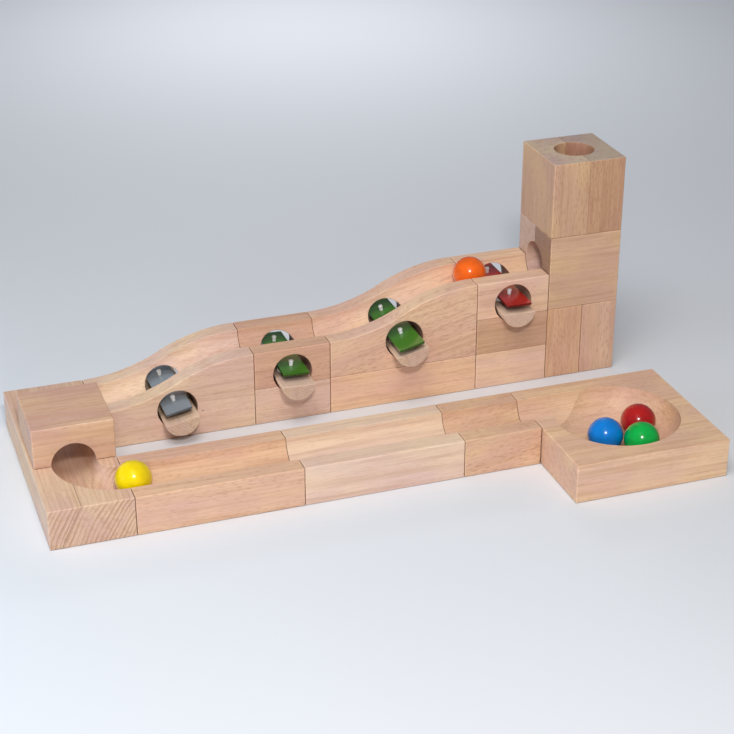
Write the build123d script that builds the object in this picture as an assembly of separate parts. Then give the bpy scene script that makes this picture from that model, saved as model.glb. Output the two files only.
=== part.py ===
from build123d import *
import math
import os

# A wooden marble run on a cube grid: a drop tower, two curved slopes and two level cubes with
# chime bars lying across the track, a U-turn under a tunnel block, a level return channel and
# a catch bowl. Millimetres, +Z up. Places along the track are counted in cubes from the
# tower's front left foot, x growing towards the tower and y to the back.

# --- driving dimensions -------------------------------------------------------------------
CUBE = 66.6                      # edge of a whole cube
HALF = CUBE / 2                  # height of a half block
JOINT_GAP = 0.3                  # daylight between neighbouring loose blocks
EDGE_ROUND = 0.9                 # sanded outer edges
RIM_ROUND = 0.5                  # sanded rims of bores and grooves
SEAM_WIDTH = 0.3                 # fine groove along a glued seam
SEAM_DEPTH = 0.2

MARBLE_RADIUS = 14.5
MARBLE_CLEARANCE = 0.15          # air under a marble, so that it can roll
GROOVE_RADIUS = 17.5             # half-round track groove, centred on the block's top face
TOWER_BORE_RADIUS = 17.3
TURN_RADIUS = HALF               # centre line of every bend
SLOPE_LENGTH = 2 * CUBE
SLOPE_DROP = HALF

CHIME_BORE_RADIUS = 17.0         # cross bore that a chime's cradle lies in
CRADLE_RADIUS = 14.8
CRADLE_FLAT = -1.4               # height of the cradle's flat, from its own axis
CRADLE_LENGTH = 100.0
CRADLE_CLEARANCE = 0.3           # air under the cradle, so that it can slide out
CRADLE_BREAK = 0.4
BAR_WIDTH = 22.8
BAR_THICKNESS = 2.0
BAR_CORNER = 1.2
BAR_EDGE = 0.3
BAR_HOLE_RADIUS = 2.2
PIN_SPACING = 50.0
PAD_SPACING = 38.2               # felt pads that carry the bar, just inside the nails
PAD_HEIGHT = 6.0
PAD_WIDTH = 8.0
PAD_LENGTH = 20.6
PAD_CORNER = 3.8
SLEEVE_RADIUS = 1.75             # soft sleeve round each nail
SLEEVE_ABOVE_BAR = 3.0
NAIL_RADIUS = 0.9
NAIL_DEPTH = 9.0                 # length of the nail inside the cradle
NAIL_HEAD_RADIUS = 2.1
NAIL_HEAD_HEIGHT = 1.6
NAIL_HEAD_ROUND = 1.2

BOWL_WALL_RADIUS = 22.0          # dished wall of the catch bowl
BOWL_FLOOR = 9.3                 # wood left under the bowl's flat floor
BOWL_RIM_RADIUS = TURN_RADIUS + GROOVE_RADIUS + 0.6

ROW_SPACING = 2.1                # from the ramp's front face to the return row's, in cubes
TUNNEL_INSET = 0.03              # the tunnel block stands this far in from the turn's left face

# --- places, in cubes -----------------------------------------------------------------------
RAMP_Y = 0.5                     # middle of the ramp's groove
RETURN_Y = RAMP_Y - ROW_SPACING  # middle of the return row's groove
TURN_X = -6.0                    # both bends of the U-turn start here
LEFT_END = TURN_X - 1
RIGHT_END = 1
HIGH_SLOPE_X = -1.0              # right-hand ends of the two slopes
LOW_SLOPE_X = -4.0
BOWL_Y = -ROW_SPACING
RETURN_BLOCKS = {"channel_left": (-6, -4), "channel_middle": (-4, -2), "channel_short": (-2, -1)}

# Each chime lies in a bore at x whose axis is `depth` below the track's top face, at height
# `top` there, both in cubes. The bar's length and the cradle's push along the bore are in
# millimetres. The cradle is turned in the bore by `turn` degrees: positive lifts the
# right-hand edge.
CHIMES = {
    "chime_low_slope": dict(x=-5.0, top=0.75, depth=0.35, bar=90.0, push=0.5, turn=11.5),
    "chime_low_cube": dict(x=-3.5, top=1.0, depth=0.34, bar=84.0, push=-2.3, turn=-2.0),
    "chime_high_slope": dict(x=-2.0, top=1.25, depth=0.36, bar=106.0, push=-3.5, turn=14.8),
    "chime_high_cube": dict(x=-0.5, top=1.5, depth=0.32, bar=97.0, push=1.5, turn=-1.5),
}

# Marbles at rest in the catch bowl, from its middle.
BOWL_MARBLES = {"marble_blue": (-0.24, -0.18), "marble_green": (0.126, -0.427), "marble_red": (0.30, 0.01)}
RETURN_MARBLE_X = -5.91
RAMP_MARBLE_X = -0.917


def mm(cubes):
    return cubes * CUBE


# Two equal arcs, tangent to each other and level at the ends, make a slope's top line.
SLOPE_ARC_RADIUS = (SLOPE_LENGTH**2 + SLOPE_DROP**2) / (4 * SLOPE_DROP)
SLOPE_ANGLE = math.degrees(math.asin(SLOPE_LENGTH / 2 / SLOPE_ARC_RADIUS))

# The origin is the middle of the whole model's box, on the table.
REAR_REACH = mm(RAMP_Y) + CHIMES["chime_high_cube"]["push"] + CRADLE_LENGTH / 2
FRONT_REACH = mm(BOWL_Y - 1)
ORIGIN = Pos(-mm(LEFT_END + RIGHT_END) / 2, -(REAR_REACH + FRONT_REACH) / 2, 0)


# --- wooden blocks --------------------------------------------------------------------------
def block(x, y, z):
    """Sanded block over the ranges x, y and z, in cubes."""
    low = (mm(x[0]) + JOINT_GAP / 2, mm(y[0]), mm(z[0]))
    high = (mm(x[1]) - JOINT_GAP / 2, mm(y[1]), mm(z[1]))
    size = [b - a for a, b in zip(low, high)]
    middle = [(a + b) / 2 for a, b in zip(low, high)]
    solid = Pos(*middle) * Box(*size)
    return fillet(solid.edges(), EDGE_ROUND)


def carve(wood, *cutters):
    """Takes away bores or grooves, one after another, and rounds the rims that they leave."""
    for cutter in cutters:
        carved = wood - cutter
        wood = fillet(new_edges(wood, cutter, combined=carved), RIM_ROUND)
    return wood


def glued_halves(whole, seam):
    """The two halves that a finished block is glued up from, in order along the seam plane's
    normal. A fine groove runs along the glue line."""
    box = whole.bounding_box()
    core = Pos(box.center()) * Box(*(side - 2 * SEAM_DEPTH for side in box.size))
    sheet = seam * Box(8 * CUBE, 8 * CUBE, SEAM_WIDTH)
    halves = split(whole - (sheet - core), seam, keep=Keep.BOTH).solids()
    return halves.sort_by(Axis(seam.origin, seam.z_dir))


def channel(path, radius=GROOVE_RADIUS):
    """Round channel swept along a path, to be taken away from the wood."""
    start = Plane(path @ 0, z_dir=path % 0)
    return sweep(start * Circle(radius), path=path)


def straight_channel(x, y, z):
    """Channel along X over the range x, in cubes."""
    middle = Pos(mm((x[0] + x[1]) / 2), mm(y), mm(z))
    return middle * Rot(0, 90, 0) * Cylinder(GROOVE_RADIUS, mm(x[1] - x[0]) + 2 * JOINT_GAP)


def bore_height(chime):
    return mm(chime["top"] - chime["depth"])


def cross_bore(chime):
    """Bore along Y through the ramp, where the chime's cradle lies."""
    axis = Pos(mm(chime["x"]), mm(RAMP_Y), bore_height(chime)) * Rot(90, 0, 0)
    return axis * Cylinder(CHIME_BORE_RADIUS, 1.5 * CUBE)


# --- the drop tower ---------------------------------------------------------------------------
def tower_top():
    """Whole cube with a plumb bore, glued up from a left and a right half."""
    bore = Pos(HALF, HALF, mm(2.5)) * Cylinder(TOWER_BORE_RADIUS, 1.5 * CUBE)
    whole = carve(block((0, 1), (0, 1), (2, 3)), bore)
    left, right = glued_halves(whole, Plane.YZ.offset(HALF))
    return {"tower_top_left_half": left, "tower_top_right_half": right}


def tower_outlet():
    """Whole cube with a quarter bend from its top to its left face, glued up from a front and
    a rear half."""
    drop = Line((HALF, mm(2.1)), (HALF, mm(2)))
    bend = JernArc(drop @ 1, drop % 1, TURN_RADIUS, -90)
    out = Line(bend @ 1, (mm(-0.1), mm(1.5)))
    middle = Plane.XZ.offset(-HALF)
    tunnel = channel(middle * (drop + bend + out), TOWER_BORE_RADIUS)
    whole = carve(block((0, 1), (0, 1), (1, 2)), tunnel)
    rear, front = glued_halves(whole, middle)
    return {"tower_outlet_front_half": front, "tower_outlet_rear_half": rear}


def tower_foot():
    """Two loose half blocks standing on end."""
    return {
        "tower_foot_left": block((0, 0.5), (0, 1), (0, 1)),
        "tower_foot_right": block((0.5, 1), (0, 1), (0, 1)),
    }


# --- the ramp ---------------------------------------------------------------------------------
def chime_cube(name, chime):
    """Level track cube with a cross bore, glued up from a lower and an upper half block. The
    bore cuts both halves."""
    x = (chime["x"] - 0.5, chime["x"] + 0.5)
    top = chime["top"]
    groove = straight_channel(x, RAMP_Y, top)
    whole = carve(block(x, (0, 1), (top - 1, top)), groove, cross_bore(chime))
    lower, upper = glued_halves(whole, Plane.XY.offset(mm(top - 0.5)))
    return {name + "_lower_half": lower, name + "_upper_half": upper}


def slope_line(right_x, top):
    """Top line of a slope from its high right-hand end to its low left-hand one, in XZ."""
    crest = JernArc((mm(right_x), mm(top)), (-1, 0), SLOPE_ARC_RADIUS, SLOPE_ANGLE)
    dip = JernArc(crest @ 1, crest % 1, SLOPE_ARC_RADIUS, -SLOPE_ANGLE)
    return crest + dip


def slope_block(right_x, top, chime):
    """Track block two cubes long whose top falls by half a cube, with a groove that follows it."""
    line = slope_line(right_x, top)
    right, left = line @ 0, line @ 1
    bottom = mm(top - 1)
    outline = line + Polyline(left, (left.X, bottom), (right.X, bottom), right)
    body = extrude(Plane.XZ * make_face(outline), -CUBE)
    trimmed = Box(SLOPE_LENGTH - JOINT_GAP, CUBE, CUBE)
    body &= Pos((left.X + right.X) / 2, HALF, bottom + HALF) * trimmed
    body = fillet(body.edges().filter_by(lambda e: e.length > SLOPE_DROP / 2), EDGE_ROUND)
    lead = Line((right.X + HALF, right.Y), right)
    tail = Line(left, (left.X - HALF, left.Y))
    groove = channel(Plane.XZ.offset(-mm(RAMP_Y)) * (lead + line + tail))
    return carve(body, groove, cross_bore(chime))


def ramp():
    nodes = chime_cube("high_chime_cube", CHIMES["chime_high_cube"])
    nodes |= chime_cube("low_chime_cube", CHIMES["chime_low_cube"])
    nodes["high_slope"] = slope_block(HIGH_SLOPE_X, 1.5, CHIMES["chime_high_slope"])
    nodes["low_slope"] = slope_block(LOW_SLOPE_X, 1.0, CHIMES["chime_low_slope"])
    nodes["spacer_short"] = block((-1, 0), (0, 1), (0, 0.5))
    nodes["spacer_long"] = block((-3, -1), (0, 1), (0, 0.5))
    return nodes


# --- the U-turn and the return row ----------------------------------------------------------
def turn_channel():
    """Two quarter bends and the straight between them."""
    lead = Line((mm(TURN_X) + HALF, mm(RAMP_Y)), (mm(TURN_X), mm(RAMP_Y)))
    rear = JernArc(lead @ 1, lead % 1, TURN_RADIUS, 90)
    side = Line(rear @ 1, (mm(TURN_X) - TURN_RADIUS, mm(RETURN_Y) + TURN_RADIUS))
    front = JernArc(side @ 1, side % 1, TURN_RADIUS, 90)
    tail = Line(front @ 1, (mm(TURN_X) + HALF, mm(RETURN_Y)))
    return channel(Pos(0, 0, HALF) * (lead + rear + side + front + tail))


def turn():
    bend = turn_channel()
    base = carve(block((LEFT_END, TURN_X), (-ROW_SPACING, 1), (0, 0.5)), bend)
    cover_y = (1 - ROW_SPACING, 2 - ROW_SPACING)
    cover = carve(block((LEFT_END + TUNNEL_INSET, TURN_X), cover_y, (0.5, 1)), bend)
    return {"turn_base": base, "tunnel_block": cover}


def return_row():
    nodes = {}
    y = (-ROW_SPACING, 1 - ROW_SPACING)
    for name, x in RETURN_BLOCKS.items():
        nodes[name] = carve(block(x, y, (0, 0.5)), straight_channel(x, RETURN_Y, 0.5))
    return nodes


def catch_bowl():
    """Dished block two cubes square. The channel runs in along the dish's rear edge."""
    floor_radius = BOWL_RIM_RADIUS - BOWL_WALL_RADIUS
    wall_top = BOWL_FLOOR + BOWL_WALL_RADIUS
    floor = Line((0, BOWL_FLOOR), (floor_radius, BOWL_FLOOR))
    wall = JernArc(floor @ 1, (1, 0), BOWL_WALL_RADIUS, 90)
    rim = Polyline((BOWL_RIM_RADIUS, wall_top), (BOWL_RIM_RADIUS, CUBE), (0, CUBE), (0, BOWL_FLOOR))
    dish = Pos(0, mm(BOWL_Y), 0) * revolve(Plane.XZ * make_face(floor + wall + rim), Axis.Z)
    inlet = straight_channel((-1, -0.05), RETURN_Y, 0.5)
    body = block((-1, RIGHT_END), (BOWL_Y - 1, BOWL_Y + 1), (0, 0.5))
    return {"catch_bowl": carve(body, dish + inlet)}


# --- the chimes -------------------------------------------------------------------------------
def pair(shape, spacing=PIN_SPACING):
    """The same shape at both ends of a chime, as one group: at the nails or at the pads."""
    return Compound([Pos(0, side * spacing / 2, 0) * shape for side in (-1, 1)])


def cradle():
    """Half-round rod with a flat top, drilled for the nails."""
    rod = Rot(90, 0, 0) * Cylinder(CRADLE_RADIUS, CRADLE_LENGTH)
    above = Pos(0, 0, CRADLE_FLAT + CRADLE_RADIUS) * Box(CUBE, 2 * CUBE, 2 * CRADLE_RADIUS)
    rod = chamfer((rod - above).edges(), CRADLE_BREAK)
    hole = Pos(0, 0, CRADLE_FLAT - NAIL_DEPTH / 2) * Cylinder(NAIL_RADIUS, NAIL_DEPTH)
    return rod - pair(hole)


def chime_bar(length):
    """Flat bar with two clearance holes, its underside at height zero."""
    bar = Pos(0, 0, BAR_THICKNESS / 2) * Box(BAR_WIDTH, length, BAR_THICKNESS)
    bar = fillet(bar.edges().filter_by(Axis.Z), BAR_CORNER)
    bar = fillet(bar.faces().sort_by(Axis.Z)[-1].edges(), BAR_EDGE)
    return bar - pair(Cylinder(BAR_HOLE_RADIUS, 4 * BAR_THICKNESS))


def felt_pad():
    pad = Pos(0, 0, PAD_HEIGHT / 2) * Box(PAD_LENGTH, PAD_WIDTH, PAD_HEIGHT)
    return fillet(pad.edges().filter_by(Axis.Z), PAD_CORNER)


def sleeve(length):
    tube = Cylinder(SLEEVE_RADIUS, length) - Cylinder(NAIL_RADIUS, length)
    return Pos(0, 0, length / 2) * tube


def nail(length):
    """Round-headed nail, its head resting at the given height above the flat."""
    shank = Pos(0, 0, (length - NAIL_DEPTH) / 2) * Cylinder(NAIL_RADIUS, length + NAIL_DEPTH)
    head = Pos(0, 0, length + NAIL_HEAD_HEIGHT / 2) * Cylinder(NAIL_HEAD_RADIUS, NAIL_HEAD_HEIGHT)
    head = fillet(head.edges().sort_by(Axis.Z)[-1], NAIL_HEAD_ROUND)
    return shank + head


def chime(name, spec):
    """Cradle, pads, bar, sleeves and nails of one chime, laid in its bore."""
    axis_height = bore_height(spec) - (CHIME_BORE_RADIUS - CRADLE_RADIUS - CRADLE_CLEARANCE)
    place = Pos(mm(spec["x"]), mm(RAMP_Y) + spec["push"], axis_height) * Rot(0, -spec["turn"], 0)
    on_flat = place * Pos(0, 0, CRADLE_FLAT)
    pin_height = PAD_HEIGHT + BAR_THICKNESS + SLEEVE_ABOVE_BAR
    return {
        name + "_cradle": place * cradle(),
        name + "_pads": on_flat * pair(felt_pad(), PAD_SPACING),
        name + "_bar": on_flat * Pos(0, 0, PAD_HEIGHT) * chime_bar(spec["bar"]),
        name + "_sleeves": on_flat * pair(sleeve(pin_height)),
        name + "_nails": on_flat * pair(nail(pin_height)),
    }


# --- the marbles ------------------------------------------------------------------------------
def marbles():
    """One marble on the crest of the ramp, one in the return row and three in the bowl."""
    ball = Sphere(MARBLE_RADIUS)
    lift = MARBLE_RADIUS + MARBLE_CLEARANCE
    crest_x, crest_z = mm(HIGH_SLOPE_X), mm(1.5) - SLOPE_ARC_RADIUS
    roll_radius = SLOPE_ARC_RADIUS - GROOVE_RADIUS + lift
    ramp_z = crest_z + math.sqrt(roll_radius**2 - (mm(RAMP_MARBLE_X) - crest_x) ** 2)
    nodes = {
        "marble_orange": Pos(mm(RAMP_MARBLE_X), mm(RAMP_Y), ramp_z) * ball,
        "marble_yellow": Pos(mm(RETURN_MARBLE_X), mm(RETURN_Y), HALF - GROOVE_RADIUS + lift) * ball,
    }
    for name, (x, y) in BOWL_MARBLES.items():
        nodes[name] = Pos(mm(x), mm(BOWL_Y + y), BOWL_FLOOR + lift) * ball
    return nodes


def all_nodes():
    nodes = tower_top() | tower_outlet() | tower_foot() | ramp() | turn() | return_row() | catch_bowl()
    for name, spec in CHIMES.items():
        nodes |= chime(name, spec)
    return nodes | marbles()


os.makedirs("parts", exist_ok=True)
for node, shape in all_nodes().items():
    export_step(ORIGIN * shape, f"parts/{node}.step")
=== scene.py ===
import math
import random

import bmesh
import bpy
from mathutils import Matrix, Vector, noise


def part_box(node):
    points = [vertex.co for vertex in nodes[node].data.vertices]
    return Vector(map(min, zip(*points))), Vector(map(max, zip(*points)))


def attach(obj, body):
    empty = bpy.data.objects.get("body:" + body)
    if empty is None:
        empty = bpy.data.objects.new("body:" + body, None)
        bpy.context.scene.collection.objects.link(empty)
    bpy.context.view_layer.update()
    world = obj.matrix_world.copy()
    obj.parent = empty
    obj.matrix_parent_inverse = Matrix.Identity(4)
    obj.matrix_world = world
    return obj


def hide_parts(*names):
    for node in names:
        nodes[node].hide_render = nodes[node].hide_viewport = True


# Looks for a wooden marble run: solid beech blocks, glossy lacquered marbles, lacquered chime
# bars on felt in half-round beech cradles. Metres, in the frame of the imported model.

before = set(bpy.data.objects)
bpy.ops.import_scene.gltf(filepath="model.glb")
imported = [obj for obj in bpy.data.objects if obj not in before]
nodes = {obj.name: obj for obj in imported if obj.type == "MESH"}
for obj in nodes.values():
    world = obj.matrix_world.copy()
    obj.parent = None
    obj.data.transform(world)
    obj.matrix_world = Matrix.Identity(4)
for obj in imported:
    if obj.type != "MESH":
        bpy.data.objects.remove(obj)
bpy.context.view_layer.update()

random.seed(7)

CHIMES = ("chime_low_slope", "chime_low_cube", "chime_high_slope", "chime_high_cube")
X, Y, Z = 0, 1, 2


# --- node helpers ---------------------------------------------------------------------------
class Tree:
    """A node tree with short calls for the nodes used here. An input is a number, a colour or
    a socket."""

    def __init__(self, tree):
        self.tree = tree
        self.nodes = tree.nodes

    def put(self, socket, value):
        if isinstance(value, bpy.types.NodeSocket):
            self.tree.links.new(value, socket)
        elif value is not None:
            socket.default_value = value

    def node(self, kind, inputs=(), **settings):
        made = self.nodes.new(kind)
        for name, value in settings.items():
            setattr(made, name, value)
        for name, value in dict(inputs).items():
            self.put(made.inputs[name], value)
        return made

    def math(self, operation, a, b=None, c=None, clamp=False):
        made = self.node("ShaderNodeMath", operation=operation, use_clamp=clamp)
        for socket, value in zip(made.inputs, (a, b, c)):
            self.put(socket, value)
        return made.outputs[0]

    def vector(self, operation, a, b=None):
        made = self.node("ShaderNodeVectorMath", operation=operation)
        for socket, value in zip(made.inputs, (a, b)):
            self.put(socket, value)
        return made.outputs["Value" if operation == "DOT_PRODUCT" else "Vector"]

    def split(self, vector):
        return self.node("ShaderNodeSeparateXYZ", {0: vector}).outputs

    def join(self, x, y, z):
        return self.node("ShaderNodeCombineXYZ", {0: x, 1: y, 2: z}).outputs[0]

    def noise(self, vector, detail=2.0, roughness=0.5, distortion=0.0):
        """Noise from 0 to 1, with features about one unit apart."""
        inputs = {"Vector": vector, "Scale": 1.0, "Detail": detail, "Roughness": roughness,
                  "Distortion": distortion}
        return self.node("ShaderNodeTexNoise", inputs).outputs["Fac"]

    def cells(self, vector):
        """(distance to the nearest cell's middle, that cell's own random number)."""
        made = self.node("ShaderNodeTexVoronoi", {"Vector": vector, "Scale": 1.0}, feature="F1")
        return made.outputs["Distance"], self.split(made.outputs["Color"])[0]

    def ramp(self, value, low, high, out_low=0.0, out_high=1.0, smooth=True):
        """The value taken from low..high to out_low..out_high, and held there beyond."""
        inputs = {"Value": value, "From Min": low, "From Max": high,
                  "To Min": out_low, "To Max": out_high}
        kind = "SMOOTHSTEP" if smooth else "LINEAR"
        return self.node("ShaderNodeMapRange", inputs, interpolation_type=kind).outputs[0]

    def mix(self, factor, a, b, blend="MIX"):
        made = self.node("ShaderNodeMix", data_type="RGBA", blend_type=blend)
        self.put(made.inputs["Factor"], factor)
        self.put(made.inputs["A"], a)
        self.put(made.inputs["B"], b)
        return made.outputs["Result"]


def new_group(name, inputs, outputs):
    """(shader node group, its Tree, its input sockets by name, its output node)."""
    group = bpy.data.node_groups.new(name, "ShaderNodeTree")
    kinds = {"float": "NodeSocketFloat", "vector": "NodeSocketVector", "colour": "NodeSocketColor"}
    for label, (kind, default) in inputs.items():
        made = group.interface.new_socket(label, in_out="INPUT", socket_type=kinds[kind])
        if default is not None:
            made.default_value = default
    for label, kind in outputs.items():
        group.interface.new_socket(label, in_out="OUTPUT", socket_type=kinds[kind])
    t = Tree(group)
    given = t.node("NodeGroupInput").outputs
    result = t.node("NodeGroupOutput")
    return group, t, given, result


def new_material(name):
    """A material with only a Principled shader: (material, its Tree, the shader's node)."""
    made = bpy.data.materials.new(name)
    made.use_nodes = True
    made.node_tree.nodes.clear()
    t = Tree(made.node_tree)
    shader = t.node("ShaderNodeBsdfPrincipled")
    output = t.node("ShaderNodeOutputMaterial")
    t.put(output.inputs["Surface"], shader.outputs[0])
    return made, t, shader


def object_place(t):
    return t.node("ShaderNodeTexCoord").outputs["Object"]


def object_normal(t):
    return t.node("ShaderNodeTexCoord").outputs["Normal"]


def scaled(t, vector, x, y, z):
    """The vector with one unit every x, y and z metres."""
    return t.vector("MULTIPLY", vector, (1 / x, 1 / y, 1 / z))


def cloud_noise(t, size, detail):
    """Noise over the object's own space, with clouds of this size in metres."""
    return t.noise(scaled(t, object_place(t), size, size, size), detail=detail)


def shade(colour, factor):
    """The colour times the factor, as an opaque socket value."""
    return (*(min(1, factor * part) for part in colour), 1)


def bump(t, height, strength, distance):
    inputs = {"Strength": strength, "Distance": distance, "Height": height}
    return t.node("ShaderNodeBump", inputs).outputs[0]


def paint(obj, material):
    """Gives the whole object one material."""
    obj.data.materials.clear()
    obj.data.materials.append(material)


# --- beech ------------------------------------------------------------------------------------
PALE_WOOD = (0.880, 0.610, 0.420, 1)
PINK_WOOD = (0.790, 0.510, 0.420, 1)
TAN_WOOD = (0.830, 0.530, 0.330, 1)
DEEP_WOOD = (0.580, 0.320, 0.200, 1)          # late wood, fibres and streaks
RAY_BROWN = (0.500, 0.245, 0.155, 1)
SPECK_BROWN = (0.22, 0.10, 0.06, 1)
CHECK_BROWN = (0.22, 0.11, 0.07, 1)
GLUE_BROWN = (0.20, 0.105, 0.065, 1)
# joint colour: black dirt and painted crevice shade
JOINT_DIRT_AND_SHADE = (0.14, 0.065, 0.035, 1)
# bore colour: painted shade, deep inside the bores
BORE_PAINTED_SHADE = (0.10, 0.045, 0.025, 1)
END_GRAIN_LIGHT = (0.97, 0.96, 0.96, 1)       # end grain takes the tone down by these
END_GRAIN_PORE = (0.84, 0.82, 0.82, 1)
RUBBED = (1.12, 1.12, 1.12, 1)                # handled edges take it up by this

JOINT_DIRT_AND_SHADE_REACH = 0.0016                          # how near two faces are to hold black dirt and painted crevice shade
BORE_SHADE_REACH = 0.022                            # how near walls are to hold painted shade inside a bore
RING_WAVE = 0.010                             # how far the slow waves push the rings about
EDGE_RUB = 0.0016                             # how far rubbing reaches in from an edge
GLUE_WIDTH = 0.00045                          # half width of a glue line, faded edge included
CHECK_WIDTH = 0.00042                         # the same for a check


def log_place(t, place):
    """(distance from the pith, angle round it, place along it). Slow waves bend the rings."""
    wave = t.noise(scaled(t, place, 0.05, 0.05, 0.30), detail=1.5)
    wave = t.math("MULTIPLY", t.math("SUBTRACT", wave, 0.5), RING_WAVE)
    x, y, z = t.split(place)
    radius = t.math("SQRT", t.math("ADD", t.math("MULTIPLY", x, x), t.math("MULTIPLY", y, y)))
    return t.math("ADD", radius, wave), t.math("ARCTAN2", y, x), z


def late_wood(t, place, radius, ring_width):
    """Growth rings, 0 to 1: pale early wood that darkens towards a sharp late-wood line."""
    wander = t.noise(t.join(t.math("MULTIPLY", radius, 90.0), 0.0, 0.0), detail=1.0)
    turns = t.math("ADD", t.math("DIVIDE", radius, ring_width), t.math("MULTIPLY", wander, 0.8))
    phase = t.math("FRACT", turns)
    late = t.math("MULTIPLY", t.ramp(phase, 0.45, 0.92), t.ramp(phase, 1.0, 0.94))
    # Some years are stronger than others, and a line fades here and there.
    own = t.noise(t.join(t.math("FLOOR", turns), 3.7, 0.0), detail=0.0)
    late = t.math("MULTIPLY", late, t.ramp(own, 0.3, 0.7, 0.35, 1.0))
    breaks = t.noise(scaled(t, place, 0.012, 0.012, 0.09), detail=2.0)
    return t.math("MULTIPLY", late, t.ramp(breaks, 0.30, 0.62, 0.45, 1.0))


def rays(t, radius, around, z):
    """Thin spindles, 0 to 1, that show as short dashes on one face and as broad flecks on
    another. Most are fine, and a few coarse ones are faint."""
    spindles = t.join(radius, around, z)
    distance, own = t.cells(scaled(t, spindles, 0.010, 0.0009, 0.0062))
    fine = t.math("MULTIPLY", t.ramp(distance, 0.55, 0.12), t.ramp(own, 0.05, 0.95))
    distance, own = t.cells(scaled(t, spindles, 0.018, 0.0016, 0.0085))
    coarse = t.math("MULTIPLY", t.ramp(distance, 0.26, 0.08), t.ramp(own, 0.45, 0.95))
    return t.math("MAXIMUM", fine, t.math("MULTIPLY", coarse, 0.25))


def clear_wood(t, place, fibre):
    """Wood without rings or rays: cloudy patches, tan bands, long streaks and fine fibres."""
    patch = t.noise(scaled(t, place, 0.035, 0.035, 0.07), detail=2.0)
    band = t.noise(scaled(t, place, 0.009, 0.009, 0.16), detail=2.0)
    streak = t.noise(scaled(t, place, 0.0045, 0.0045, 0.11), detail=2.5, roughness=0.6)
    colour = t.mix(t.ramp(patch, 0.34, 0.66), PALE_WOOD, PINK_WOOD)
    colour = t.mix(t.math("MULTIPLY", t.ramp(band, 0.44, 0.72), 0.35), colour, TAN_WOOD)
    colour = t.mix(t.math("MULTIPLY", t.ramp(streak, 0.44, 0.80), 0.55), colour, DEEP_WOOD)
    return t.mix(t.math("MULTIPLY", t.ramp(fibre, 0.42, 0.80), 0.50), colour, DEEP_WOOD)


def end_grain(t, place, colour, given):
    """End grain drinks more oil: greyer and a little darker, with its pores as fine dots."""
    pores = t.noise(scaled(t, place, 0.0007, 0.0007, 0.01), detail=2.0)
    tint = t.mix(t.ramp(pores, 0.35, 0.75), END_GRAIN_LIGHT, END_GRAIN_PORE)
    # The block's own end-grain tint; where it goes above one it is painted sky sheen.
    tint = t.mix(1.0, tint, given["End Tint And Painted Sheen"], "MULTIPLY")
    return t.mix(given["Across"], colour, t.mix(1.0, colour, tint, "MULTIPLY"))


def dirt_and_painted_shade(t, colour, reach, open_air, closed_air, strength, dark_colour):
    """Darker where other faces are within reach: painted shade in joints and in bores, and dirt in
    the joints.
    """
    air = t.node("ShaderNodeAmbientOcclusion", {"Distance": reach}, samples=4).outputs["AO"]
    return t.mix(t.ramp(air, open_air, closed_air, 0.0, strength), colour, dark_colour)


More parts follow.
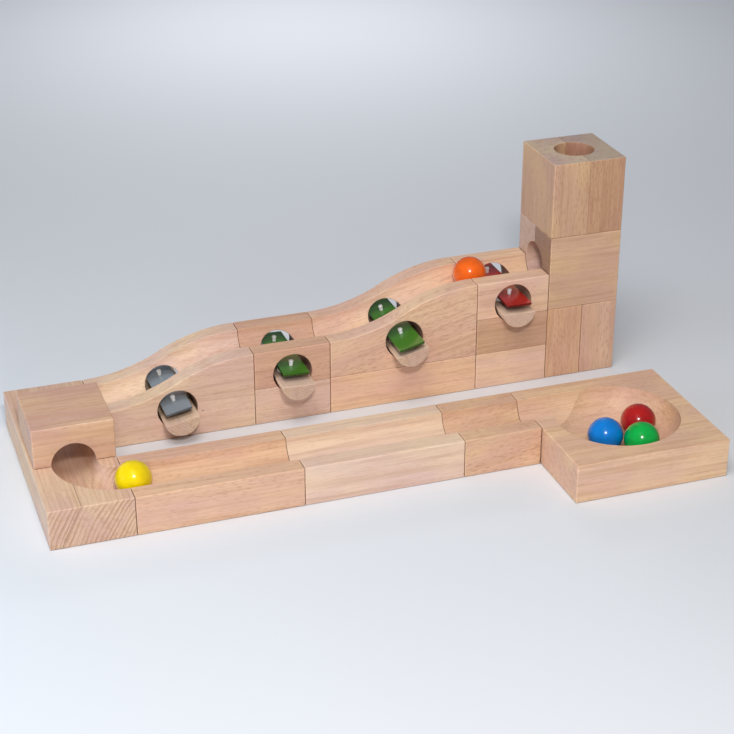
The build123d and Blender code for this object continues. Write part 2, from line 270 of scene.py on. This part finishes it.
def beech_group():
    """Solid beech. The place is given in the log's own space: its pith is the Z axis."""
    inputs = {
        "Place": ("vector", None),
        "Across": ("float", 0.0),          # 1 on end grain, 0 along the grain
        "Edge": ("float", 1.0),            # metres to the block's nearest edge
        "Ring Width": ("float", 0.004),
        "Ring Depth": ("float", 0.25),
        "Ray Depth": ("float", 0.35),
        "Flat Sawn": ("float", 1.0),       # 1 where the face is flat-sawn, 0 where quarter-sawn
        "Pith Distance": ("float", 0.12),
        # end grain's own tint, and painted sky sheen where it goes above one
        "End Tint And Painted Sheen": ("colour", (1, 1, 1, 1)),
        "Seam": ("float", 1.0),            # metres to the glued face
        "Glue": ("float", 0.4),            # how dark the glue line is
        "Check Radius": ("float", 0.0),    # one ring that has opened as a check
        "Check": ("float", 0.0),           # where along the block it has opened, 0 to 1
        "Tone": ("colour", None),
    }
    outputs = {"Color": "colour", "Roughness": "float", "Height": "float"}
    group, t, given, result = new_group("beech", inputs, outputs)
    place = given["Place"]
    radius, angle, z = log_place(t, place)
    around = t.math("MULTIPLY", angle, given["Pith Distance"])
    fibre = t.noise(scaled(t, place, 0.0009, 0.0009, 0.028), detail=3.0, roughness=0.62)
    colour = clear_wood(t, place, fibre)

    # Rings are strong on end grain and faint along it.
    late = late_wood(t, place, radius, given["Ring Width"])
    late = t.math("MULTIPLY", late, t.math("MULTIPLY_ADD", given["Across"], 0.65, 0.35))
    colour = t.mix(t.math("MULTIPLY", late, given["Ring Depth"]), colour, DEEP_WOOD)

    # Rays are strong on flat-sawn faces, faint on quarter-sawn ones and fainter on end grain.
    ray = rays(t, radius, around, z)
    lengthwise = t.math("SUBTRACT", 1.0, t.math("MULTIPLY", given["Across"], 0.75))
    flat = t.math("MULTIPLY_ADD", given["Flat Sawn"], 0.75, 0.25)
    ray_share = t.math("MULTIPLY", t.math("MULTIPLY", ray, given["Ray Depth"]), lengthwise)
    ray_share = t.math("MULTIPLY", ray_share, flat)
    colour = t.mix(ray_share, colour, RAY_BROWN)

    # A few dark specks.
    distance, own = t.cells(scaled(t, place, 0.022, 0.022, 0.050))
    speck = t.math("MULTIPLY", t.ramp(distance, 0.034, 0.018), t.ramp(own, 0.72, 0.85))
    colour = t.mix(t.math("MULTIPLY", speck, 0.75), colour, SPECK_BROWN)

    colour = end_grain(t, place, colour, given)
    colour = t.mix(1.0, colour, given["Tone"], "MULTIPLY")

    # One ring opened as a fine check.
    gap = t.math("ABSOLUTE", t.math("SUBTRACT", radius, given["Check Radius"]))
    check = t.math("MULTIPLY", t.ramp(gap, CHECK_WIDTH, 0.00008), given["Check"])
    colour = t.mix(t.math("MULTIPLY", check, 0.7), colour, CHECK_BROWN)

    # The glue line of a block made from two halves.
    glue = t.ramp(given["Seam"], GLUE_WIDTH, 0.00015)
    glue_shade = t.math("ADD", given["Glue"], t.math("MULTIPLY", given["Across"], 0.5), clamp=True)
    colour = t.mix(t.math("MULTIPLY", glue, glue_shade), colour, GLUE_BROWN)

    # Black dirt and painted crevice shade in the joints, painted shade deep inside the bores.
    colour = dirt_and_painted_shade(t, colour, JOINT_DIRT_AND_SHADE_REACH, 0.55, 0.05, 0.85, JOINT_DIRT_AND_SHADE)
    colour = dirt_and_painted_shade(t, colour, BORE_SHADE_REACH, 0.36, 0.04, 0.80, BORE_PAINTED_SHADE)

    # Handled edges: rubbed a little paler and smoother, more in some places than in others.
    rub = t.ramp(t.noise(scaled(t, place, 0.006, 0.006, 0.012), detail=2.0), 0.35, 0.65, 0.15, 0.6)
    worn = t.math("MULTIPLY", t.ramp(given["Edge"], EDGE_RUB, 0.0003), rub)
    colour = t.mix(worn, colour, t.mix(1.0, colour, RUBBED, "MULTIPLY"))

    rough = t.ramp(fibre, 0.25, 0.75, 0.46, 0.60, smooth=False)
    rough = t.math("ADD", rough, t.math("MULTIPLY", worn, -0.08))
    rough = t.math("ADD", rough, t.math("MULTIPLY", given["Across"], 0.05))
    height = t.math("MULTIPLY", t.math("SUBTRACT", 1.0, fibre), 0.6)
    for sunk, depth in ((ray, 0.25), (check, 3.0), (speck, 1.0)):
        height = t.math("SUBTRACT", height, t.math("MULTIPLY", sunk, depth))

    t.put(result.inputs["Color"], colour)
    t.put(result.inputs["Roughness"], rough)
    t.put(result.inputs["Height"], height)
    return group


BEECH = beech_group()


def log_turn(grain, tilt):
    """Rotation from the model's frame to the log's space, whose Z runs along the grain. Tilt
    turns it further, by degrees about the log's X and Y."""
    rows = {
        X: ((0, 1, 0), (0, 0, 1), (1, 0, 0)),
        Y: ((0, 0, 1), (1, 0, 0), (0, 1, 0)),
        Z: ((1, 0, 0), (0, 1, 0), (0, 0, 1)),
    }
    about_x = Matrix.Rotation(math.radians(tilt[0]), 3, "X")
    about_y = Matrix.Rotation(math.radians(tilt[1]), 3, "Y")
    return about_x @ about_y @ Matrix(rows[grain])


def beech(node, grain, pith, tone=(1, 1, 1), tilt=(0, 0), ring=0.004, ring_depth=0.3, ray=0.35,
          end=(1, 1, 1), seam=None, glue=0.4, check=None):
    """A block of beech. Pith is the log's middle, from the block's middle, in metres: across the
    grain as (Y, Z) for grain along X, (Z, X) along Y and (X, Y) along Z. Tone and end tint the
    whole block and its end grain; an end tint above one is painted sky sheen, paler and bluer.
    A seam is the glued face, given as its axis and its side, and glue is how dark its line
    shows. A check is (its ring's radius, the Y up to which it is open, the Y from which it is
    closed)."""
    low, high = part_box(node)
    middle = (low + high) / 2
    half = (high - low) / 2
    turn = log_turn(grain, tilt)
    stretch = random.uniform(-2, 2)               # every block is from its own part of a log
    shift = -(turn @ middle) - Vector((*pith, stretch))
    made, t, shader = new_material("beech_" + node)
    place = object_place(t)
    mapping = t.node("ShaderNodeMapping", {"Vector": place})
    mapping.inputs["Rotation"].default_value = turn.to_euler("XYZ")
    mapping.inputs["Location"].default_value = shift
    # How far the surface is from the block's nearest edge: the middle one of three distances.
    inward = t.vector("ABSOLUTE", t.vector("SUBTRACT", place, tuple(middle)))
    dx, dy, dz = t.split(t.vector("SUBTRACT", tuple(half), inward))
    low_pair = t.math("MINIMUM", dx, dy)
    high_pair = t.math("MAXIMUM", dx, dy)
    edge = t.math("MAXIMUM", low_pair, t.math("MINIMUM", high_pair, dz))
    along = turn.transposed() @ Vector((0, 0, 1))
    normal = object_normal(t)
    facing = t.vector("DOT_PRODUCT", normal, tuple(along))
    outward = turn.transposed() @ Vector((*pith, 0)).normalized()
    flat_sawn = t.math("ABSOLUTE", t.vector("DOT_PRODUCT", normal, tuple(outward)))
    across = t.ramp(t.math("ABSOLUTE", facing), 0.6, 0.95)
    wood = t.node("ShaderNodeGroup", node_tree=BEECH)
    values = {
        "Place": mapping.outputs[0],
        "Across": across,
        "Edge": edge,
        "Ring Width": ring,
        "Ring Depth": ring_depth,
        "Ray Depth": ray,
        "Flat Sawn": flat_sawn,
        "Pith Distance": math.hypot(*pith),
        "End Tint And Painted Sheen": (*end, 1),
        "Tone": (*tone, 1),
    }
    if seam:
        axis, side = seam
        face = high[axis] if side > 0 else low[axis]
        values["Seam"] = t.math("ABSOLUTE", t.math("SUBTRACT", t.split(place)[axis], face))
        values["Glue"] = glue
    if check:
        values["Check Radius"], open_y, closed_y = check
        values["Check"] = t.ramp(t.split(place)[Y], closed_y, open_y)
    for name, value in values.items():
        t.put(wood.inputs[name], value)
    t.put(shader.inputs["Base Color"], wood.outputs["Color"])
    t.put(shader.inputs["Roughness"], wood.outputs["Roughness"])
    t.put(shader.inputs["Normal"], bump(t, wood.outputs["Height"], 0.35, 0.0001))
    shader.inputs["Specular IOR Level"].default_value = 0.42
    paint(nodes[node], made)


def paint_blocks():
    """Every block is cut from its own board: own grain direction, pith, tone and figure."""
    # The drop tower. Its tops' end tints above one are painted sky sheen: paler, bluer tops.
    beech("tower_top_left_half", Z, (0.05, 0.11), (0.81, 0.77, 0.66), end=(1.08, 1.31, 1.65),
          ray=0.6, seam=(X, 1), glue=0.1)
    beech("tower_top_right_half", Z, (0.02, 0.13), (0.68, 0.58, 0.50), end=(1.08, 1.50, 1.95),
          ray=0.5, seam=(X, -1), glue=0.1)
    beech("tower_outlet_front_half", X, (0.02, -0.14), (0.89, 0.86, 0.75), end=(0.60, 0.56, 0.60),
          tilt=(0, 2), ring_depth=0.5, seam=(Y, 1))
    beech("tower_outlet_rear_half", X, (0.07, -0.10), (0.91, 0.96, 1.03), seam=(Y, -1))
    beech("tower_foot_left", Z, (0.03, 0.12), (0.94, 0.86, 0.74), ray=0.5)
    beech("tower_foot_right", Z, (0.05, 0.14), (0.92, 0.87, 0.86), ray=0.5)
    # The ramp.
    beech("high_chime_cube_upper_half", X, (0.10, -0.06), (1.08, 1.09, 1.06), ring_depth=0.15,
          seam=(Z, -1))
    beech("high_chime_cube_lower_half", X, (-0.12, 0.07), (0.87, 0.83, 0.72), seam=(Z, 1))
    beech("low_chime_cube_upper_half", X, (0.11, 0.06), (0.89, 0.81, 0.78), ray=0.5, seam=(Z, -1))
    beech("low_chime_cube_lower_half", X, (0.12, -0.05), (1.01, 1.07, 1.08), seam=(Z, 1))
    beech("high_slope", X, (0.13, 0.03), (1.03, 1.02, 0.99), tilt=(13, 0), ring_depth=0.35,
          ray=0.65)
    beech("low_slope", X, (0.10, -0.10), (1.03, 1.09, 1.10), tilt=(0, -2), ring_depth=0.35,
          ray=0.4)
    beech("spacer_short", X, (0.06, 0.12), (1.14, 1.18, 1.12))
    beech("spacer_long", X, (0.05, -0.13), (1.10, 1.06, 0.98), tilt=(0, 2), ray=0.45)
    # The U-turn and the return row.
    beech("turn_base", Y, (-0.0509, 0.0946), (0.94, 0.96, 0.94), ring=0.0033, ring_depth=1.3,
          check=(0.1214, -0.045, -0.025))
    beech("tunnel_block", X, (-0.06, 0.12), (0.86, 0.81, 0.77), ring_depth=0.1)
    beech("channel_left", X, (0.12, 0.05), (0.97, 0.93, 0.87), ray=0.5)
    beech("channel_middle", X, (0.09, 0.10), (1.02, 1.11, 1.16), ring_depth=0.15, ray=0.25)
    beech("channel_short", X, (0.14, 0.03), (0.94, 0.90, 0.81), tilt=(8, 0), ray=0.7)
    beech("catch_bowl", X, (0.05, -0.16), (1.03, 1.02, 0.93), ring_depth=0.4)
    for name in CHIMES:
        beech(name + "_cradle", Y, (0.05, 0.04), (1.02, 1.14, 1.12), ring=0.0022, ring_depth=0.6,
              ray=0.2)


# --- lacquered marbles ------------------------------------------------------------------------
MARBLE_COLOURS = {
    "marble_orange": (1.00, 0.150, 0.008),
    "marble_yellow": (1.00, 0.740, 0.000),
    "marble_blue": (0.001, 0.230, 0.740),
    "marble_green": (0.002, 0.460, 0.066),
    "marble_red": (0.520, 0.010, 0.010),
}


def paint_marbles():
    """Glossy lacquer over turned wood: faint clouds in the colour and a little orange peel."""
    for node, colour in MARBLE_COLOURS.items():
        made, t, shader = new_material("lacquer_" + node)
        clouds = t.ramp(cloud_noise(t, 0.008, detail=2.0), 0.3, 0.7)
        t.put(shader.inputs["Base Color"], t.mix(clouds, shade(colour, 1), shade(colour, 0.86)))
        rubs = cloud_noise(t, 0.003, detail=3.0)
        t.put(shader.inputs["Roughness"], t.ramp(rubs, 0.3, 0.7, 0.16, 0.24))
        peel = cloud_noise(t, 0.0025, detail=1.0)
        t.put(shader.inputs["Normal"], bump(t, peel, 0.08, 0.0001))
        shader.inputs["Specular IOR Level"].default_value = 0.15
        shader.inputs["Coat Weight"].default_value = 1.0
        shader.inputs["Coat Roughness"].default_value = 0.20
        paint(nodes[node], made)


# --- chimes -----------------------------------------------------------------------------------
BAR_COLOURS = {
    "chime_low_slope": (0.300, 0.350, 0.395),
    "chime_low_cube": (0.066, 0.225, 0.022),
    "chime_high_slope": (0.066, 0.225, 0.022),
    "chime_high_cube": (0.480, 0.024, 0.018),
}
SIDE_PAINTED_SHADE = 0.40            # painted shade on the bars' sides


def paint_bars():
    """Glossy lacquer on steel, smooth, with faint clouds and rubs, and painted shade on the sides.
    """
    for name, colour in BAR_COLOURS.items():
        node = name + "_bar"
        made, t, shader = new_material("lacquer_" + node)
        clouds = t.ramp(cloud_noise(t, 0.025, detail=1.0), 0.3, 0.7)
        lacquer = t.mix(clouds, shade(colour, 1), shade(colour, 0.94))
        # Painted shade on the faces that don't face up.
        side = t.ramp(t.split(object_normal(t))[Z], 0.85, 0.60)
        t.put(shader.inputs["Base Color"], t.mix(side, lacquer, shade(colour, SIDE_PAINTED_SHADE)))
        rubs = cloud_noise(t, 0.012, detail=1.0)
        t.put(shader.inputs["Roughness"], t.ramp(rubs, 0.3, 0.7, 0.18, 0.22))
        shader.inputs["Coat Weight"].default_value = 0.6
        shader.inputs["Coat Roughness"].default_value = 0.06
        paint(nodes[node], made)


def nail_material():
    """Bright plating, nearly white, with fine marks."""
    made, t, shader = new_material("bright_nail")
    marks = cloud_noise(t, 0.0008, detail=3.0)
    t.put(shader.inputs["Base Color"], t.mix(marks, (1.0, 1.0, 1.0, 1), (0.92, 0.92, 0.92, 1)))
    t.put(shader.inputs["Roughness"], t.ramp(marks, 0.3, 0.7, 0.26, 0.38))
    t.put(shader.inputs["Normal"], bump(t, marks, 0.1, 0.00005))
    shader.inputs["Metallic"].default_value = 0.1
    return made


def sleeve_material():
    """Soft white plastic that lets a little light through."""
    made, t, shader = new_material("white_sleeve")
    cloud = cloud_noise(t, 0.002, detail=2.0)
    t.put(shader.inputs["Base Color"], t.mix(cloud, (1.0, 1.0, 0.99, 1), (0.93, 0.94, 0.93, 1)))
    t.put(shader.inputs["Roughness"], t.ramp(cloud, 0.3, 0.7, 0.40, 0.55))
    shader.inputs["Subsurface Weight"].default_value = 0.2
    shader.inputs["Subsurface Radius"].default_value = (0.002, 0.002, 0.002)
    return made


def paint_nails_and_sleeves():
    bright = nail_material()
    white = sleeve_material()
    for name in CHIMES:
        paint(nodes[name + "_nails"], bright)
        paint(nodes[name + "_sleeves"], white)


TUFT = 0.0006                    # size of the felt's tufts
FELT_CELL = 0.0005               # size of the felt mesh's faces
FELT_SAG = 0.00018               # how deep the felt's surface dips between tufts
FELT_DIP_SPACING = 0.0011        # how far apart the dips are
FIBRE_LENGTH = 0.0007
FIBRE_WIDTH = 0.00005
FIBRES_PER_NODE = 500


def felt_material():
    """White wool: matt, with tufts that are paler than the hollows between them."""
    made, t, shader = new_material("white_felt")
    small = scaled(t, object_place(t), TUFT, TUFT, TUFT)
    tufts = t.noise(small, detail=4.0, roughness=0.7, distortion=1.2)
    wool, hollow = (0.98, 0.98, 0.96, 1), (0.86, 0.87, 0.85, 1)
    t.put(shader.inputs["Base Color"], t.mix(t.ramp(tufts, 0.3, 0.75), wool, hollow))
    t.put(shader.inputs["Normal"], bump(t, tufts, 0.6, 0.0003))
    t.put(shader.inputs["Roughness"], t.ramp(tufts, 0.3, 0.7, 0.85, 1.0))
    shader.inputs["Sheen Weight"].default_value = 0.5
    shader.inputs["Sheen Roughness"].default_value = 0.6
    return made


def felt_surface(source, name):
    """The pads' shape as an even, softly rounded mesh whose surface dips between the tufts."""
    rough = bpy.data.objects.new(name, source.data.copy())
    rough.matrix_world = source.matrix_world
    bpy.context.scene.collection.objects.link(rough)
    remesh = rough.modifiers.new("even", "REMESH")
    remesh.mode = "VOXEL"
    remesh.voxel_size = FELT_CELL
    soften = rough.modifiers.new("soften", "SMOOTH")
    soften.iterations = 3
    shape = rough.evaluated_get(bpy.context.evaluated_depsgraph_get())
    mesh = bpy.data.meshes.new_from_object(shape)
    bpy.data.objects.remove(rough)
    for vertex in mesh.vertices:
        dip = 0.5 + 0.5 * noise.fractal(vertex.co / FELT_DIP_SPACING, 1.0, 2.0, 3)
        vertex.co -= vertex.normal * FELT_SAG * min(1, max(0, dip))
    mesh.polygons.foreach_set("use_smooth", [True] * len(mesh.polygons))
    return mesh


def add_fibres(mesh):
    """Loose wool fibres standing out of the pads' sides as fine bent slivers."""
    sides = [face for face in mesh.polygons if abs(face.normal.z) < 0.5]
    bm = bmesh.new()
    bm.from_mesh(mesh)
    for face in random.sample(sides, FIBRES_PER_NODE):
        root, out = face.center.copy(), face.normal.copy()
        lean = Vector(random.gauss(0, 1) for _ in range(3))
        lean = (lean - out * lean.dot(out)).normalized()
        across = out.cross(lean) * FIBRE_WIDTH / 2
        middle = root + (out * 0.5 + lean * 0.4) * FIBRE_LENGTH * random.uniform(0.4, 1.0)
        tip = middle + (out * 0.1 + lean * 0.5) * FIBRE_LENGTH * random.uniform(0.4, 1.0)
        base_pair = [bm.verts.new(root - across), bm.verts.new(root + across)]
        middle_pair = [bm.verts.new(middle + across), bm.verts.new(middle - across)]
        bm.faces.new(base_pair + middle_pair)
        bm.faces.new([middle_pair[1], middle_pair[0], bm.verts.new(tip)])
    bm.to_mesh(mesh)
    bm.free()


def felt_pads():
    """Two felt blocks under each bar: soft rounded edges, a tufted surface and loose fibres."""
    wool = felt_material()
    for name in CHIMES:
        source = nodes[name + "_pads"]
        mesh = felt_surface(source, name + "_felt")
        add_fibres(mesh)
        piece = bpy.data.objects.new(name + "_felt", mesh)
        piece.matrix_world = source.matrix_world
        bpy.context.scene.collection.objects.link(piece)
        paint(piece, wool)
        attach(piece, name)
        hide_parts(name + "_pads")


# --- stage, light and camera --------------------------------------------------------------------
PAPER = (0.80, 0.82, 0.86)
FLOOR_HALF = 12.0                # half the floor's side


def paper_material():
    """Matt pale blue-grey, with faint clouds."""
    made, t, shader = new_material("pale_paper")
    cloud = cloud_noise(t, 0.4, detail=2.0)
    t.put(shader.inputs["Base Color"], t.mix(cloud, shade(PAPER, 1), shade(PAPER, 1.02)))
    shader.inputs["Roughness"].default_value = 0.75
    shader.inputs["Specular IOR Level"].default_value = 0.2
    return made


def stage():
    """A plain pale floor, far wider than any view of the object."""
    mesh = bpy.data.meshes.new("floor")
    bm = bmesh.new()
    bmesh.ops.create_grid(bm, x_segments=4, y_segments=4, size=FLOOR_HALF)
    bm.to_mesh(mesh)
    bm.free()
    floor = bpy.data.objects.new("floor", mesh)
    bpy.context.scene.collection.objects.link(floor)
    paint(floor, paper_material())


def area_light(name, place, target, size, power, colour):
    """A round lamp of this size in metres and power in watts."""
    data = bpy.data.lights.new(name, "AREA")
    data.shape = "DISK"
    data.size = size
    data.energy = power
    data.color = colour
    light = bpy.data.objects.new(name, data)
    bpy.context.scene.collection.objects.link(light)
    light.location = place
    direction = Vector(target) - Vector(place)
    light.rotation_euler = direction.to_track_quat("-Z", "Y").to_euler()
    return light


CAMERA_PLACE = Vector((-0.4133, -1.2189, 0.7156))
CAMERA_TARGET = Vector((0.0185, 0.0202, 0.0600))
LENS = 87.19                     # millimetres
SENSOR_WIDTH = 36.0              # millimetres

ROOM_COLOUR = (0.86, 0.92, 1.0, 1)
ROOM_STRENGTH = 0.17
# A lamp's place, what it is aimed at, its size in metres, its watts and its colour.
FLASH = ((-0.29, -1.10, 1.03), CAMERA_TARGET, 0.15, 8.2, (1.0, 0.98, 0.95))
SOFT_LAMPS = {
    "softbox": ((-0.40, -0.65, 1.60), (-0.05, 0.00, 0.00), 0.90, 11.0, (1.0, 0.985, 0.97)),
    "window": ((-0.95, -0.10, 0.30), (-0.27, -0.05, 0.03), 0.50, 3.0, (0.66, 0.84, 1.0)),
    "card": ((-0.45, -1.30, 0.40), (0.00, 0.05, 0.06), 0.30, 2.4, (0.97, 0.98, 1.0)),
    "backdrop": ((0.33, 1.25, 0.75), (0.33, 1.24, 0.00), 0.35, 4.2, (0.95, 0.96, 1.0)),
}


def lights():
    """A small flash by the camera gives the shadows. The large soft lamps fill in from above,
    from a window on the left and from low in front, and one brightens the floor behind."""
    world = bpy.data.worlds.new("pale_room")
    bpy.context.scene.world = world
    world.use_nodes = True
    sky = world.node_tree.nodes["Background"]
    sky.inputs["Color"].default_value = ROOM_COLOUR
    sky.inputs["Strength"].default_value = ROOM_STRENGTH
    area_light("flash", *FLASH)
    for name, lamp in SOFT_LAMPS.items():
        light = area_light(name, *lamp)
        light.visible_glossy = False


def camera():
    """A long lens, from the front left and above."""
    data = bpy.data.cameras.new("camera")
    data.lens = LENS
    data.sensor_width = SENSOR_WIDTH
    data.clip_end = 50.0
    made = bpy.data.objects.new("camera", data)
    bpy.context.scene.collection.objects.link(made)
    made.location = CAMERA_PLACE
    made.rotation_euler = (CAMERA_TARGET - CAMERA_PLACE).to_track_quat("-Z", "Y").to_euler()
    bpy.context.scene.camera = made


paint_blocks()
paint_marbles()
paint_bars()
paint_nails_and_sleeves()
felt_pads()
stage()
lights()
camera()
bpy.context.scene.view_settings.view_transform = "Standard"
